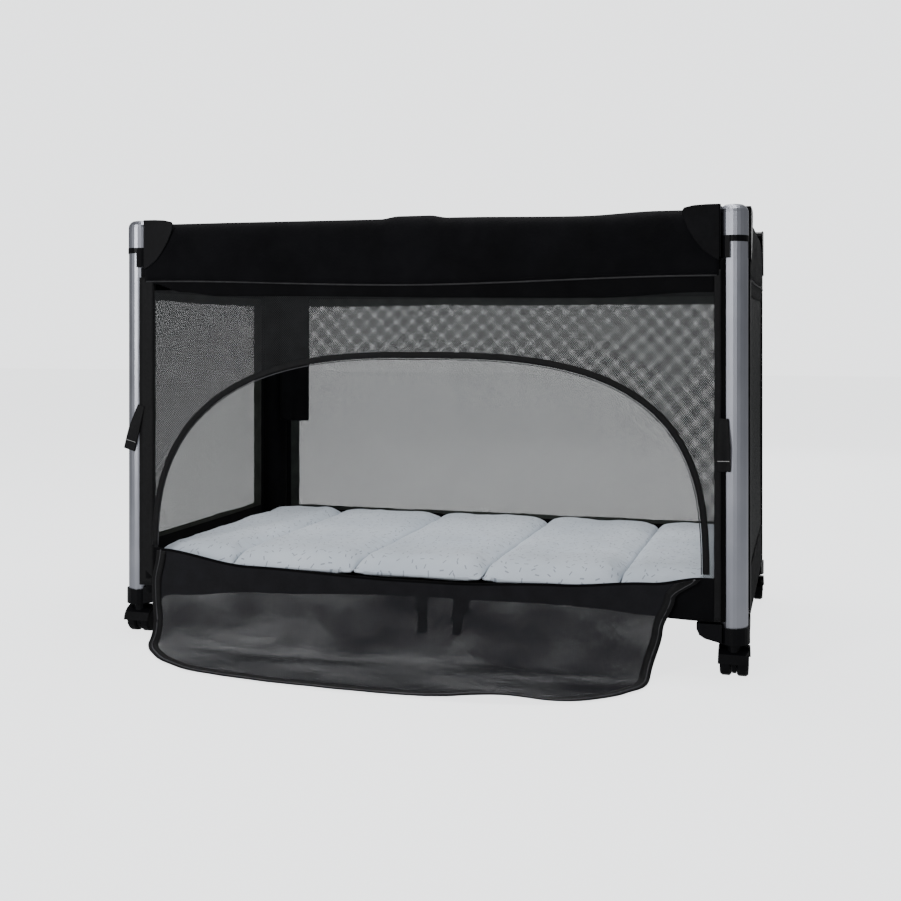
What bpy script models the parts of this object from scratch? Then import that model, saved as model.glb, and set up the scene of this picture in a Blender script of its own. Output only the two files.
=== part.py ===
"""Folding travel cot (playpen) with corner posts, mesh sides, a zipped doorway and a folding mattress.

Metres, +Z up. The origin is on the floor under the middle of the cot.
X runs along the long sides, and the doorway side faces -Y.

The frame folds towards its middle. Every link turns through the same angle, because a top half rail
and a base tube span the same distance between their pins, seen along either side of the cot.
"""

import math

import bmesh
import bpy
from mathutils import Matrix, Vector

# Driving dimensions
HALF_LENGTH = 0.605  # corner post axis from the middle, along X
HALF_WIDTH = 0.300  # corner post axis from the middle, along Y
HEIGHT = 0.850  # top of the post caps
POST_RADIUS = 0.025
POST_WALL = 0.0012
GAP = 0.0003  # between pieces that touch
SWEEP_STEPS = 16
ROUND_STEPS = 24  # sides of a post and of what fits round it
COLLAR_RADIUS = 0.029
BAND_RADIUS = 0.0264

# Heights
POST_BOTTOM = 0.0703
POST_TOP = 0.792
BAND_BOTTOM = 0.782
HOUSING_BOTTOM = 0.753
COLLAR_TOP = 0.793
RAIL_HEIGHT = 0.815
BASE_HEIGHT = 0.100
FOOT_BOTTOM = 0.062
FOOT_TOP = 0.092
FOOT_WING_TOP = 0.098

# Folding links
TUBE_RADIUS = 0.0095
TUBE_WALL = 0.0012
TUBE_OVERHANG = 0.008  # tube past its pin
PIN_RADIUS = 0.0030
PIN_HOLE_RADIUS = 0.0033
SLOT_HALF = 0.0105  # half the slot that a tube turns in
CHEEK_HALF = 0.0145  # half the width over both cheeks
RAIL_INSET = 0.050  # rail pin from the post axis
LATCH_HALF = 0.020  # rail pin from the middle of a latch
FOOT_INSET = 0.035  # base tube pin from the post axis, along X and along Y
LEG_BOTTOM = 0.0006  # the hub's legs stand just clear of the floor
HUB_HALF = 0.035  # base tube pin from the middle of the hub, along X and along Y
HUB_PLATE_BOTTOM = 0.1165
HUB_PLATE_TOP = 0.1245
LEG_TOP = 0.120
CENTRE_LEG_RADIUS = 0.012
THIN_LEG_RADIUS = 0.010
THIN_LEG_X = 0.038
THIN_LEG_Y = 0.160

# Castors
WHEEL_RADIUS = 0.025
WHEEL_INNER = 0.005
WHEEL_OUTER = 0.025
TRAIL = 0.008
AXLE_RADIUS = 0.004
STEM_RADIUS = 0.005

# Soft goods
FABRIC = 0.002
WALL_FACE = 0.3255 - HALF_WIDTH  # outer face of a side, out from the post axes
WALL_BOTTOM = 0.0985
WALL_TOP = 0.840
BAND_INNER_BOTTOM = 0.720
WALL_END_GAP = 0.0262  # between a post axis and the end of a side
DOOR_HALF = 0.551
DOOR_SILL = 0.165
DOOR_RISE = 0.395
DOOR_POWER = 2.6
FLAP_REACH = 0.210
FLAP_BEND = 0.045  # where the flap turns from hanging to lying
FLAP_FLOOR = 0.0035  # middle of the flap's thickness above the floor
FLAP_THICK = 0.003
FLOOR_HALF_LENGTH = 0.574
FLOOR_HALF_WIDTH = 0.270
MATTRESS_HALF_LENGTH = 0.579
MATTRESS_FRONT = -0.318  # the mattress reaches the doorway's sill
MATTRESS_REAR = 0.280
MATTRESS_BOTTOM = 0.140
MATTRESS_TOP = 0.178
PANEL = 0.264
SEAM = 0.003
FLOOR_BOTTOM = 0.1285

CORNERS = {
    "front_left": (-1, -1),
    "front_right": (1, -1),
    "rear_left": (-1, 1),
    "rear_right": (1, 1),
}
SPAN_X = HALF_LENGTH - RAIL_INSET - LATCH_HALF
SPAN_Y = HALF_WIDTH - RAIL_INSET - LATCH_HALF

for item in list(bpy.data.objects):
    bpy.data.objects.remove(item, do_unlink=True)

playpen = bpy.data.collections.new("playpen")
bpy.context.scene.collection.children.link(playpen)


def material(name, colour, roughness, metallic=0.0):
    """A plain Principled material."""
    made = bpy.data.materials.new(name)
    made.use_nodes = True
    shader = made.node_tree.nodes["Principled BSDF"]
    shader.inputs["Base Color"].default_value = (*colour, 1.0)
    shader.inputs["Roughness"].default_value = roughness
    shader.inputs["Metallic"].default_value = metallic
    return made


SILVER = material("satin_aluminium", (0.55, 0.56, 0.60), 0.35, 1.0)
STEEL = material("grey_steel", (0.30, 0.31, 0.33), 0.40, 1.0)
PLASTIC = material("black_plastic", (0.012, 0.012, 0.014), 0.45)
WHEEL = material("castor_plastic", (0.018, 0.018, 0.020), 0.40)
BLACK_FABRIC = material("black_fabric", (0.008, 0.008, 0.010), 0.90)
WEBBING = material("black_webbing", (0.010, 0.010, 0.012), 0.85)
QUILT = material("quilted_cover", (0.62, 0.66, 0.70), 0.90)


def shape(bm):
    """A loose object that holds this mesh, with its faces pointing out."""
    bmesh.ops.remove_doubles(bm, verts=bm.verts, dist=1e-6)
    bmesh.ops.recalc_face_normals(bm, faces=bm.faces)
    mesh = bpy.data.meshes.new("shape")
    bm.to_mesh(mesh)
    bm.free()
    made = bpy.data.objects.new("shape", mesh)
    playpen.objects.link(made)
    return made


def box(low, high, turn=0.0, about=(0.0, 0.0, 0.0)):
    """A box from its low corner to its high corner, turned about the vertical through a point."""
    low = Vector(low)
    high = Vector(high)
    size = high - low
    bm = bmesh.new()
    bmesh.ops.create_cube(bm, size=1.0)
    bmesh.ops.scale(bm, vec=size, verts=bm.verts)
    bmesh.ops.translate(bm, vec=(low + high) / 2, verts=bm.verts)
    bmesh.ops.rotate(bm, cent=(0, 0, 0), matrix=Matrix.Rotation(turn, 3, "Z"), verts=bm.verts)
    bmesh.ops.translate(bm, vec=about, verts=bm.verts)
    return shape(bm)


def rod(start, end, radius, steps=SWEEP_STEPS):
    """A round bar between two points."""
    start = Vector(start)
    end = Vector(end)
    along = end - start
    bm = bmesh.new()
    bmesh.ops.create_cone(
        bm, cap_ends=True, segments=steps, radius1=radius, radius2=radius, depth=along.length
    )
    turn = along.to_track_quat("Z", "Y").to_matrix()
    bmesh.ops.rotate(bm, cent=(0, 0, 0), matrix=turn, verts=bm.verts)
    bmesh.ops.translate(bm, vec=(start + end) / 2, verts=bm.verts)
    return shape(bm)


def turned(profile, closed=False, steps=SWEEP_STEPS):
    """A profile of (radius, height) points turned about Z."""
    mesh = bpy.data.meshes.new("profile")
    edges = [(i, i + 1) for i in range(len(profile) - 1)]
    if closed:
        edges.append((len(profile) - 1, 0))
    mesh.from_pydata([(radius, 0.0, height) for radius, height in profile], edges, [])
    made = bpy.data.objects.new("shape", mesh)
    playpen.objects.link(made)
    screw = made.modifiers.new("screw", "SCREW")
    screw.steps = steps
    screw.render_steps = steps
    screw.use_merge_vertices = True
    screw.merge_threshold = 0.00001
    baked(made)
    bm = bmesh.new()
    bm.from_mesh(made.data)
    bpy.data.objects.remove(made)
    return shape(bm)


def extruded(outline, thickness, axis):
    """A flat outline of (across, height) points, extruded to both sides along X or Y."""
    curve = bpy.data.curves.new("outline", "CURVE")
    curve.dimensions = "2D"
    curve.fill_mode = "BOTH"
    curve.extrude = thickness / 2
    line = curve.splines.new("POLY")
    line.points.add(len(outline) - 1)
    for point, (across, height) in zip(line.points, outline):
        point.co = (across, height, 0.0, 1.0)
    line.use_cyclic_u = True
    made = bpy.data.objects.new("outline", curve)
    playpen.objects.link(made)
    stand = Matrix.Rotation(math.pi / 2, 4, "X")
    if axis == "X":
        stand = Matrix.Rotation(math.pi / 2, 4, "Z") @ stand
    bpy.context.view_layer.update()
    bm = bmesh.new()
    bm.from_mesh(bpy.data.meshes.new_from_object(made.evaluated_get(bpy.context.evaluated_depsgraph_get())))
    bpy.data.objects.remove(made)
    bmesh.ops.transform(bm, matrix=stand, verts=bm.verts)
    return shape(bm)


def baked(thing):
    """Replaces an object's mesh with its evaluated mesh."""
    bpy.context.view_layer.update()
    view = thing.evaluated_get(bpy.context.evaluated_depsgraph_get())
    mesh = bpy.data.meshes.new_from_object(view)
    thing.modifiers.clear()
    thing.data = mesh
    return thing


def combined(base, tools, operation):
    """The base joined with, or cut by, each tool. The tools are used up."""
    for tool in tools:
        step = base.modifiers.new(operation, "BOOLEAN")
        step.operation = operation
        step.object = tool
        baked(base)
        bpy.data.objects.remove(tool)
    return base


def joined(base, *tools):
    return combined(base, tools, "UNION")


def cut(base, *tools):
    return combined(base, tools, "DIFFERENCE")


def moved(thing, offset):
    """Moves an object's mesh."""
    thing.data.transform(Matrix.Translation(offset))
    return thing


def mirrored(thing, sign_x, sign_y):
    """Mirrors an object's mesh about the middle planes."""
    thing.data.transform(Matrix.Diagonal((sign_x, sign_y, 1.0, 1.0)))
    if sign_x * sign_y < 0:
        thing.data.flip_normals()
    return thing


def piece(thing, name, finish, origin, smooth=35.0):
    """Names a finished object, gives it its material and puts its origin on its own axis."""
    thing.name = name
    thing.data.name = name
    thing.data.transform(Matrix.Translation(-Vector(origin)))
    thing.location = origin
    thing.data.materials.clear()
    thing.data.materials.append(finish)
    thing.data.shade_smooth()
    thing.data.set_sharp_from_angle(angle=math.radians(smooth))
    return thing


# Corner posts. Each corner is drawn at the origin with the cot towards +X and +Y, then mirrored out.


def post():
    inner = POST_RADIUS - POST_WALL
    ring = [(POST_RADIUS, POST_TOP), (POST_RADIUS, POST_BOTTOM), (inner, POST_BOTTOM), (inner, POST_TOP)]
    return turned(ring, closed=True, steps=ROUND_STEPS)


def cap():
    """A round cap with a plug that fits the post."""
    radius = POST_RADIUS + 0.0008
    edge = 0.015
    edge_steps = 4
    plug = POST_RADIUS - POST_WALL - GAP
    plug_depth = 0.015
    seat = BAND_BOTTOM + 0.011 + GAP
    profile = [(0.0, HEIGHT)]
    for i in range(edge_steps + 1):
        angle = math.pi / 2 * i / edge_steps
        out = radius - edge + edge * math.sin(angle)
        profile.append((out, HEIGHT - edge + edge * math.cos(angle)))
    profile += [(radius, seat), (plug, seat), (plug, seat - plug_depth), (0.0, seat - plug_depth)]
    return turned(profile, steps=ROUND_STEPS)


WING = [
    (0.022, HOUSING_BOTTOM),
    (0.040, 0.774),
    (0.054, 0.792),
    (0.067, 0.814),
    (0.0765, 0.836),
    (0.074, 0.842),
    (0.045, 0.848),
    (0.022, 0.849),
]


def top_wing(axis):
    """One wing of the corner housing, with the slot and the pin of its half rail."""
    along_x = axis == "X"
    wing = extruded(WING, 0.054, "Y" if along_x else "X")

    def place(along, across, height):
        return (along, across, height) if along_x else (across, along, height)

    slot = box(place(0.034, -0.0115, 0.740), place(0.090, 0.0115, 0.838))
    pin = rod(place(RAIL_INSET, -0.020, RAIL_HEIGHT), place(RAIL_INSET, 0.020, RAIL_HEIGHT), PIN_RADIUS, 8)
    return joined(cut(wing, slot), pin)


def sleeve(outer, bottom, bore):
    """A plain ring round the top of a post."""
    ring = [(outer, COLLAR_TOP), (outer, bottom), (bore, bottom), (bore, COLLAR_TOP)]
    return turned(ring, closed=True, steps=ROUND_STEPS)


def housing():
    """The moulding at the top of a post: a collar on the cot's side, a band all round and two wings."""
    bore = POST_RADIUS + GAP
    collar = sleeve(COLLAR_RADIUS, HOUSING_BOTTOM, bore)
    cut(collar, box((-0.04, -0.04, 0.74), (0.006, 0.006, 0.80)))
    band = sleeve(BAND_RADIUS, BAND_BOTTOM, bore)
    wings = joined(top_wing("X"), top_wing("Y"))
    post_room = rod((0, 0, 0.74), (0, 0, COLLAR_TOP + 0.0001), bore + 0.0002, ROUND_STEPS)
    cap_room = rod((0, 0, COLLAR_TOP), (0, 0, 0.86), BAND_RADIUS, ROUND_STEPS)
    cut(wings, post_room, cap_room)
    return joined(wings, collar, band)


FOOT_WING = [
    (0.020, 0.064),
    (0.050, 0.071),
    (0.060, 0.077),
    (0.065, 0.088),
    (0.065, FOOT_WING_TOP),
    (0.020, FOOT_WING_TOP),
]


def foot():
    """The moulding under a post: socket, two wings and the bracket of the base tube."""
    bore = POST_RADIUS + GAP
    socket = turned(
        [
            (0.0285, FOOT_TOP),
            (0.0285, FOOT_BOTTOM),
            (STEM_RADIUS + GAP, FOOT_BOTTOM),
            (STEM_RADIUS + GAP, POST_BOTTOM - GAP),
            (bore, POST_BOTTOM - GAP),
            (bore, FOOT_TOP),
        ],
        closed=True,
        steps=24,
    )
    wing_x = moved(extruded(FOOT_WING, 0.030, "Y"), (0, -0.011, 0))
    wing_y = moved(extruded(FOOT_WING, 0.030, "X"), (-0.011, 0, 0))
    turn = math.atan2(SPAN_Y, SPAN_X)
    pivot = (FOOT_INSET, FOOT_INSET, 0.0)
    bracket = box((-0.024, -CHEEK_HALF, 0.070), (0.012, CHEEK_HALF, 0.110), turn, pivot)
    slot = box((-0.0135, -SLOT_HALF, 0.086), (0.030, SLOT_HALF, 0.130), turn, pivot)
    across = Vector((-math.sin(turn), math.cos(turn), 0.0)) * (CHEEK_HALF - 0.001)
    centre = Vector((FOOT_INSET, FOOT_INSET, BASE_HEIGHT))
    pin = rod(centre - across, centre + across, PIN_RADIUS, 8)
    sides = joined(wing_x, wing_y, bracket)
    cut(sides, rod((0, 0, 0.055), (0, 0, 0.120), 0.0268, 24), slot)
    return joined(sides, socket, pin)


def castor():
    """Hood, web, axle and stem of a twin wheel castor. The wheels roll along Y."""
    centre = Vector((0.0, TRAIL, WHEEL_RADIUS))
    hood = rod(centre + Vector((-0.0275, 0, 0)), centre + Vector((0.0275, 0, 0)), 0.0305, 20)
    inside = rod(centre + Vector((-0.040, 0, 0)), centre + Vector((0.040, 0, 0)), 0.0275, 20)
    cut(hood, inside, box((-0.05, -0.05, -0.02), (0.05, 0.05, 0.027)))
    web = rod(centre + Vector((-0.0035, 0, 0)), centre + Vector((0.0035, 0, 0)), 0.021, 16)
    neck = box((-0.0035, -0.004, 0.035), (0.0035, 0.020, 0.0535))
    boss = rod((0, 0, 0.046), (0, 0, FOOT_BOTTOM - 0.001), 0.014, 16)
    cut(boss, rod(centre + Vector((-0.04, 0, 0)), centre + Vector((0.04, 0, 0)), 0.029, 20))
    stem = rod((0, 0, 0.054), (0, 0, 0.080), STEM_RADIUS, 12)
    axle = rod(centre + Vector((-0.022, 0, 0)), centre + Vector((0.022, 0, 0)), AXLE_RADIUS, 12)
    return joined(hood, boss, stem, web, neck, axle)


def wheel(side):
    """One castor wheel, turned about its axle."""
    bore = AXLE_RADIUS + GAP
    profile = [
        (WHEEL_RADIUS - 0.003, WHEEL_OUTER),
        (WHEEL_RADIUS, WHEEL_OUTER - 0.004),
        (WHEEL_RADIUS, WHEEL_INNER + 0.003),
        (WHEEL_RADIUS - 0.003, WHEEL_INNER),
        (bore, WHEEL_INNER),
        (bore, WHEEL_OUTER - 0.002),
        (WHEEL_RADIUS - 0.008, WHEEL_OUTER - 0.002),
        (WHEEL_RADIUS - 0.009, WHEEL_OUTER),
    ]
    made = turned(profile, closed=True)
    made.data.transform(Matrix.Rotation(math.radians(90 * side), 4, "Y"))
    return moved(made, (0, TRAIL, WHEEL_RADIUS))


def corner(name, sign_x, sign_y):
    """Every piece of one corner of the frame."""
    at = Vector((sign_x * HALF_LENGTH, sign_y * HALF_WIDTH, 0.0))

    def finish(thing, kind, look, origin=(0.0, 0.0, 0.0)):
        offset = Vector((-sign_x * origin[0], -sign_y * origin[1], origin[2]))
        mirrored(thing, -sign_x, -sign_y)
        moved(thing, at)
        piece(thing, f"{kind}_{name}", look, at + offset)

    pivot = (FOOT_INSET, FOOT_INSET, BASE_HEIGHT)
    finish(post(), "post", SILVER, pivot)
    finish(cap(), "cap", SILVER, pivot)
    finish(housing(), "housing", PLASTIC, pivot)
    finish(foot(), "foot", PLASTIC, pivot)
    hood = moved(castor(), at)
    piece(hood, f"castor_{name}", PLASTIC, at)
    for side, word in ((-1, "left"), (1, "right")):
        axle = at + Vector((0.0, TRAIL, WHEEL_RADIUS))
        piece(moved(wheel(side), at), f"wheel_{name}_{word}", WHEEL, axle)


for name, (sign_x, sign_y) in CORNERS.items():
    corner(name, sign_x, sign_y)


# Folding links


def link(start, end, across):
    """A tube between two pins, with a cross hole at each."""
    start = Vector(start)
    end = Vector(end)
    over = (end - start).normalized() * TUBE_OVERHANG
    side = Vector(across) * 0.02
    tube = rod(start - over, end + over, TUBE_RADIUS, 12)
    bore = rod(start - over * 2, end + over * 2, TUBE_RADIUS - TUBE_WALL, 10)
    cut(tube, bore)
    return cut(tube, *(rod(p - side, p + side, PIN_HOLE_RADIUS, 8) for p in (start, end)))


def half_rails():
    """Two half rails on each side of the cot. Each turns at its corner housing."""
    for side, sign_y in (("front", -1), ("rear", 1)):
        for end, sign_x in (("left", -1), ("right", 1)):
            pivot = (sign_x * (HALF_LENGTH - RAIL_INSET), sign_y * HALF_WIDTH, RAIL_HEIGHT)
            inner = (sign_x * LATCH_HALF, sign_y * HALF_WIDTH, RAIL_HEIGHT)
            piece(link(pivot, inner, (0, 1, 0)), f"rail_{side}_{end}", STEEL, pivot)
    for side, sign_x in (("left", -1), ("right", 1)):
        for end, sign_y in (("front", -1), ("rear", 1)):
            pivot = (sign_x * HALF_LENGTH, sign_y * (HALF_WIDTH - RAIL_INSET), RAIL_HEIGHT)
            inner = (sign_x * HALF_LENGTH, sign_y * LATCH_HALF, RAIL_HEIGHT)
            piece(link(pivot, inner, (1, 0, 0)), f"rail_{side}_{end}", STEEL, pivot)


def latch(along):
    """A channel, open above, that holds the pins of two half rails."""
    turn = 0.0 if along == "X" else math.pi / 2
    channel = box((-0.033, -CHEEK_HALF, 0.796), (0.033, CHEEK_HALF, 0.826), turn)
    for sign in (-1, 1):
        ends = sorted((sign * 0.0040, sign * 0.040))
        cut(channel, box((ends[0], -SLOT_HALF, 0.8005), (ends[1], SLOT_HALF, 0.840), turn))
    for sign in (-1, 1):
        centre = Vector((sign * LATCH_HALF, 0.0, RAIL_HEIGHT))
        half = Vector((0.0, CHEEK_HALF - 0.001, 0.0))
        if along == "Y":
            centre = Vector((0.0, sign * LATCH_HALF, RAIL_HEIGHT))
            half = Vector((CHEEK_HALF - 0.001, 0.0, 0.0))
        joined(channel, rod(centre - half, centre + half, PIN_RADIUS, 8))
    return channel


def latches():
    for name, sign in (("front", -1), ("rear", 1)):
        at = Vector((0.0, sign * HALF_WIDTH, 0.0))
        pivot = (-LATCH_HALF, sign * HALF_WIDTH, RAIL_HEIGHT)
        piece(moved(latch("X"), at), f"latch_{name}", PLASTIC, pivot)
    for name, sign in (("left", -1), ("right", 1)):
        at = Vector((sign * HALF_LENGTH, 0.0, 0.0))
        pivot = (sign * HALF_LENGTH, LATCH_HALF, RAIL_HEIGHT)
        piece(moved(latch("Y"), at), f"latch_{name}", PLASTIC, pivot)


def base_tubes():
    """Four tubes from the hub to the feet."""
    for name, (sign_x, sign_y) in CORNERS.items():
        outer = Vector(
            (sign_x * (HALF_LENGTH - FOOT_INSET), sign_y * (HALF_WIDTH - FOOT_INSET), BASE_HEIGHT)
        )
        inner = Vector((sign_x * HUB_HALF, sign_y * HUB_HALF, BASE_HEIGHT))
        across = (outer - inner).normalized().cross(Vector((0, 0, 1)))
        pivot = outer if name == "rear_left" else inner
        piece(link(outer, inner, across), f"base_tube_{name}", STEEL, pivot)


def hub():
    """The hub under the floor: a bracket for each base tube, a centre leg and two pairs of thin legs."""
    plate = box((-0.056, -0.172, HUB_PLATE_BOTTOM), (0.056, 0.172, HUB_PLATE_TOP))
    joined(plate, rod((0, 0, LEG_BOTTOM), (0, 0, LEG_TOP), CENTRE_LEG_RADIUS))
    for name, (sign_x, sign_y) in CORNERS.items():
        leg_x = sign_x * THIN_LEG_X
        leg_y = sign_y * THIN_LEG_Y
        leg = rod((leg_x, leg_y, LEG_BOTTOM), (leg_x, leg_y, LEG_TOP), THIN_LEG_RADIUS, 12)
        turn = math.atan2(sign_y * SPAN_Y, sign_x * SPAN_X)
        pivot = Vector((sign_x * HUB_HALF, sign_y * HUB_HALF, 0.0))
        bracket = box((-0.012, -CHEEK_HALF, 0.088), (0.012, CHEEK_HALF, 0.1185), turn, pivot)
        cut(bracket, box((-0.030, -SLOT_HALF, 0.080), (0.030, SLOT_HALF, 0.1150), turn, pivot))
        across = Vector((-math.sin(turn), math.cos(turn), 0.0)) * (CHEEK_HALF - 0.001)
        centre = pivot + Vector((0.0, 0.0, BASE_HEIGHT))
        joined(plate, leg, bracket, rod(centre - across, centre + across, PIN_RADIUS, 8))
    return piece(plate, "hub", PLASTIC, (-HUB_HALF, HUB_HALF, BASE_HEIGHT))


half_rails()
latches()
base_tubes()
hub()


# Soft goods: plain solids of the right size


def side_wall(half_span):
    """One side along X at the origin: a sleeve over the rails whose outer leg hangs to the base."""
    inner_face = WALL_FACE - FABRIC
    outline = [
        (-WALL_FACE, WALL_BOTTOM),
        (-inner_face, WALL_BOTTOM),
        (-inner_face, WALL_TOP - 0.006),
        (-inner_face + 0.004, WALL_TOP - FABRIC),
        (inner_face - 0.004, WALL_TOP - FABRIC),
        (inner_face, WALL_TOP - 0.006),
        (inner_face, BAND_INNER_BOTTOM),
        (WALL_FACE, BAND_INNER_BOTTOM),
        (WALL_FACE, WALL_TOP - 0.005),
        (WALL_FACE - 0.005, WALL_TOP),
        (-WALL_FACE + 0.005, WALL_TOP),
        (-WALL_FACE, WALL_TOP - 0.005),
    ]
    sleeve = extruded(outline, 2 * half_span, "X")
    for sign in (-1, 1):
        room = extruded([(u + 0.0015, z - 0.0012) for u, z in WING], 0.080, "Y")
        over = box((-0.02, -0.041, 0.7518), (0.0290, 0.041, 0.90))
        roof = box((0.0285, -0.041, 0.834), (0.0781, 0.041, 0.90))
        joined(room, over, roof)
        mirrored(room, -sign, 1)
        cut(sleeve, moved(room, (sign * (half_span + WALL_END_GAP), 0, 0)))
    return sleeve


def door_outline(half, rise, power, steps=28):
    """The upper half of a rounded rectangle."""
    points = []
    for i in range(steps + 1):
        angle = math.pi * i / steps
        c = math.cos(angle)
        s = math.sin(angle)
        across = math.copysign(abs(c) ** (2 / power), c) * half
        points.append((across, DOOR_SILL + rise * s ** (2 / power)))
    return points


def walls():
    half_x = HALF_LENGTH - WALL_END_GAP
    half_y = HALF_WIDTH - WALL_END_GAP
    pivot_x = HALF_LENGTH - FOOT_INSET
    pivot_y = HALF_WIDTH - FOOT_INSET
    front = side_wall(half_x)
    doorway = extruded(door_outline(DOOR_HALF, DOOR_RISE, DOOR_POWER), 0.010, "Y")
    cut(front, moved(doorway, (0, -WALL_FACE, 0)))
    moved(front, (0, -HALF_WIDTH, 0))
    piece(front, "wall_front", BLACK_FABRIC, (-pivot_x, -pivot_y, BASE_HEIGHT))
    rear = moved(mirrored(side_wall(half_x), 1, -1), (0, HALF_WIDTH, 0))
    piece(rear, "wall_rear", BLACK_FABRIC, (-pivot_x, pivot_y, BASE_HEIGHT))
    for name, sign in (("left", -1), ("right", 1)):
        side = side_wall(half_y)
        side.data.transform(Matrix.Rotation(math.radians(90 * sign), 4, "Z"))
        moved(side, (sign * HALF_LENGTH, 0, 0))
        piece(side, f"wall_{name}", BLACK_FABRIC, (sign * pivot_x, pivot_y, BASE_HEIGHT))


def flap_path(length):
    """Where the flap is, out from the front side and up, at a distance down from the sill."""
    drop = DOOR_SILL - FLAP_FLOOR - FLAP_BEND
    if length < drop:
        return (0.0, DOOR_SILL - length)
    angle = (length - drop) / FLAP_BEND
    if angle < math.pi / 2:
        return (FLAP_BEND * (1 - math.cos(angle)), DOOR_SILL - drop - FLAP_BEND * math.sin(angle))
    return (FLAP_BEND + length - drop - FLAP_BEND * math.pi / 2, FLAP_FLOOR)


def door_flap():
    """The doorway panel, unzipped: it hangs from the sill and lies on the floor in front."""
    rows = 18
    columns = 6
    drop = DOOR_SILL - FLAP_FLOOR - FLAP_BEND
    full = drop + FLAP_BEND * math.pi / 2 + FLAP_REACH - FLAP_BEND
    face = -HALF_WIDTH - WALL_FACE - FLAP_FLOOR
    mesh_rows = []
    bm = bmesh.new()
    for i in range(rows + 1):
        share = math.sin(math.pi / 2 * i / rows) * 0.992
        half = (DOOR_HALF - 0.004) * (1 - share**DOOR_POWER) ** (1 / DOOR_POWER)
        out, height = flap_path(full * share)
        row = []
        for j in range(columns + 1):
            row.append(bm.verts.new((half * (2 * j / columns - 1), face - out, height)))
        mesh_rows.append(row)
    for upper, lower in zip(mesh_rows, mesh_rows[1:]):
        for j in range(columns):
            bm.faces.new((upper[j], lower[j], lower[j + 1], upper[j + 1]))
    flap = shape(bm)
    solid = flap.modifiers.new("thickness", "SOLIDIFY")
    solid.thickness = FLAP_THICK
    solid.offset = 0.0
    baked(flap)
    piece(flap, "door_flap", BLACK_FABRIC, (0.0, -HALF_WIDTH - WALL_FACE, DOOR_SILL))


def rounded(thing, width, segments):
    edge = thing.modifiers.new("edge", "BEVEL")
    edge.width = width
    edge.segments = segments
    edge.limit_method = "ANGLE"
    return baked(thing)


def mattress():
    """Five padded panels, hinged along their top seams."""
    inner = [step * PANEL for step in (-1.5, -0.5, 0.5, 1.5)]
    seams = [-MATTRESS_HALF_LENGTH, *inner, MATTRESS_HALF_LENGTH]
    hinges = [seams[1], seams[2], 0.0, seams[3], seams[4]]
    for i, hinge in enumerate(hinges):
        low = (seams[i] + SEAM / 2, MATTRESS_FRONT, MATTRESS_BOTTOM)
        high = (seams[i + 1] - SEAM / 2, MATTRESS_REAR, MATTRESS_TOP)
        panel = rounded(box(low, high), 0.006, 2)
        piece(panel, f"mattress_panel_{i + 1}", QUILT, (hinge, 0.0, MATTRESS_TOP))


def small_fabric():
    """The floor cloth, the flap in one inner corner, and a webbing strap on each front post."""
    low = (-FLOOR_HALF_LENGTH, -FLOOR_HALF_WIDTH, FLOOR_BOTTOM)
    high = (FLOOR_HALF_LENGTH, FLOOR_HALF_WIDTH, FLOOR_BOTTOM + FABRIC)
    floor = box(low, high)
    piece(floor, "floor_cloth", BLACK_FABRIC, (0.0, 0.0, FLOOR_BOTTOM))
    corner_x = HALF_LENGTH - 0.030
    flap = box((-corner_x, 0.2700, 0.395), (-corner_x + 0.080, 0.2720, 0.715))
    piece(flap, "corner_flap", BLACK_FABRIC, (-corner_x, 0.271, 0.715))
    face = -HALF_WIDTH - WALL_FACE - 0.0015
    for name, sign, lean in (("left", -1, 0.30), ("right", 1, 0.0)):
        strap = box((-0.0125, -0.0008, -0.095), (0.0125, 0.0008, 0.0))
        strap.data.transform(Matrix.Rotation(lean, 4, "Y"))
        top = (sign * 0.588, face, 0.470)
        piece(moved(strap, top), f"strap_{name}", WEBBING, top)


walls()
door_flap()
mattress()
small_fabric()
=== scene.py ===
"""The looks of the travel cot: satin posts, black bands and net, an unzipped flap and a quilted mattress.

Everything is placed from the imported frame, in metres, +Z up, with the doorway side towards -Y.
"""

import math

import bmesh
import bpy
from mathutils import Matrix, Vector, noise


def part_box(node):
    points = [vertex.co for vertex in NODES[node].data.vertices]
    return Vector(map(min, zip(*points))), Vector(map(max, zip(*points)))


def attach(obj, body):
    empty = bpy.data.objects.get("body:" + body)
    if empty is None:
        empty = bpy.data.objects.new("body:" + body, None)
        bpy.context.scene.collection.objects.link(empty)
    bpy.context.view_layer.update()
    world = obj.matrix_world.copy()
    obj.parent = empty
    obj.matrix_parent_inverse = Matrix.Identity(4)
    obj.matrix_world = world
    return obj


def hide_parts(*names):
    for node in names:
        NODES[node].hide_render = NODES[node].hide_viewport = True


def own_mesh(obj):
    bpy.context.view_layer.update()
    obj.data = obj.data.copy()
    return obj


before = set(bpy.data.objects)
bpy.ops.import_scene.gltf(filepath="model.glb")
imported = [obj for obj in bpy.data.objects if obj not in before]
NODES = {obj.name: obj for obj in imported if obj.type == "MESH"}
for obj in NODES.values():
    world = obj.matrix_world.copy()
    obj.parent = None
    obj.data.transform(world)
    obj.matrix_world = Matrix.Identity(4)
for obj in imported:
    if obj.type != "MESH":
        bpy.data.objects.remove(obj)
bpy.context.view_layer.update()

# Places read from the frame
POST_LOW, POST_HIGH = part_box("post_front_left")
LEFT_X = (POST_LOW[0] + POST_HIGH[0]) / 2
FRONT_Y = (POST_LOW[1] + POST_HIGH[1]) / 2
RIGHT_X = -LEFT_X
REAR_Y = -FRONT_Y
POST_RADIUS = (POST_HIGH[0] - POST_LOW[0]) / 2
WALL_LOW, WALL_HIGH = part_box("wall_front")
WALL_END = WALL_HIGH[0]
SIDE_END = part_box("wall_left")[1][1]
FACE = FRONT_Y - WALL_LOW[1]
BASE = WALL_LOW[2]
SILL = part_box("door_flap")[1][2]
PANELS = [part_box(f"mattress_panel_{i}") for i in range(1, 6)]

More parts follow.
